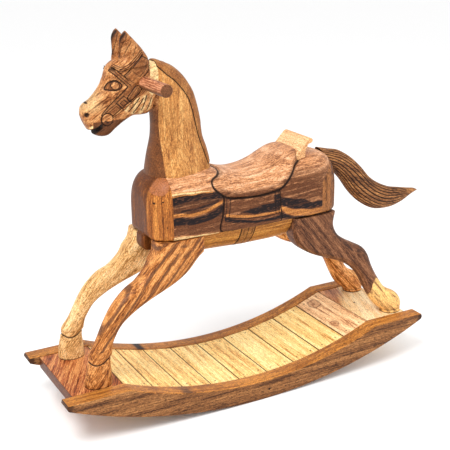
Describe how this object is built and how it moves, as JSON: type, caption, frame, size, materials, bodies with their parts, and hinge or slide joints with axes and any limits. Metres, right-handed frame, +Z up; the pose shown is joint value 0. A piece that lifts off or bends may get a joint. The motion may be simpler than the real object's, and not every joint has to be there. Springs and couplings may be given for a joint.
{
  "type": "wooden rocking horse",
  "caption": "Carved wooden rocking horse with bridle, saddle, fluted tail and a dowel handle, standing on a slatted deck between two curved rockers.",
  "frame": {"origin": "on the floor, under the middle of the whole piece's length and width", "axes": "+Z up, -X towards the horse's head, -Y towards its left side"},
  "size_m": [1.166, 0.336, 0.9743],
  "materials": {
    "rocker_wood": "brown hardwood, clear satin varnish",
    "deck_wood": "pale yellow sapwood slats, clear satin varnish",
    "pink_deck_wood": "pinkish slat with a knot, clear satin varnish",
    "front_board_wood": "dark reddish board, clear satin varnish",
    "rear_board_wood": "board from brown heart to pale sapwood, clear satin varnish",
    "chest_wood": "dark red-brown front, orange sides, clear satin varnish",
    "barrel_wood": "pinkish top over dark striped sides, clear satin varnish",
    "rump_wood": "streaked brown hardwood, clear satin varnish",
    "belly_wood": "golden orange hardwood, clear satin varnish",
    "pale_wood": "pale cream sapwood, clear satin varnish",
    "orange_leg_wood": "orange-brown streaked hardwood, clear satin varnish",
    "pale_leg_wood": "pale speckled sapwood, clear satin varnish",
    "grey_leg_wood": "grey-brown figured hardwood with a pale hoof, clear satin varnish",
    "head_wood": "orange-tan carved hardwood with dark grooves, clear satin varnish",
    "neck_wood": "golden orange straight-grained hardwood, clear satin varnish",
    "handle_wood": "reddish turned dowel, clear satin varnish",
    "tail_wood": "mid-brown fluted hardwood, clear satin varnish"
  },
  "bodies": {
    "root": {"rocker_left": "rocker_wood", "rocker_right": "rocker_wood", "deck_plank_1": "deck_wood", "deck_plank_2": "deck_wood", "deck_plank_3": "deck_wood", "deck_plank_4": "deck_wood", "deck_plank_5": "deck_wood", "deck_plank_6": "deck_wood", "deck_plank_7": "deck_wood", "deck_plank_8": "deck_wood", "deck_plank_9": "pink_deck_wood", "front_board": "front_board_wood", "rear_board": "rear_board_wood", "chest_block": "chest_wood", "barrel": "barrel_wood", "rump_block": "rump_wood", "belly_board": "belly_wood", "saddle_cantle": "pale_wood", "foreleg_left": "orange_leg_wood", "foreleg_right": "pale_leg_wood", "hind_leg_left": "grey_leg_wood", "hind_leg_right": "orange_leg_wood", "head": "head_wood", "neck": "neck_wood", "handle": "handle_wood", "tail": "tail_wood"}
  },
  "joints": []
}
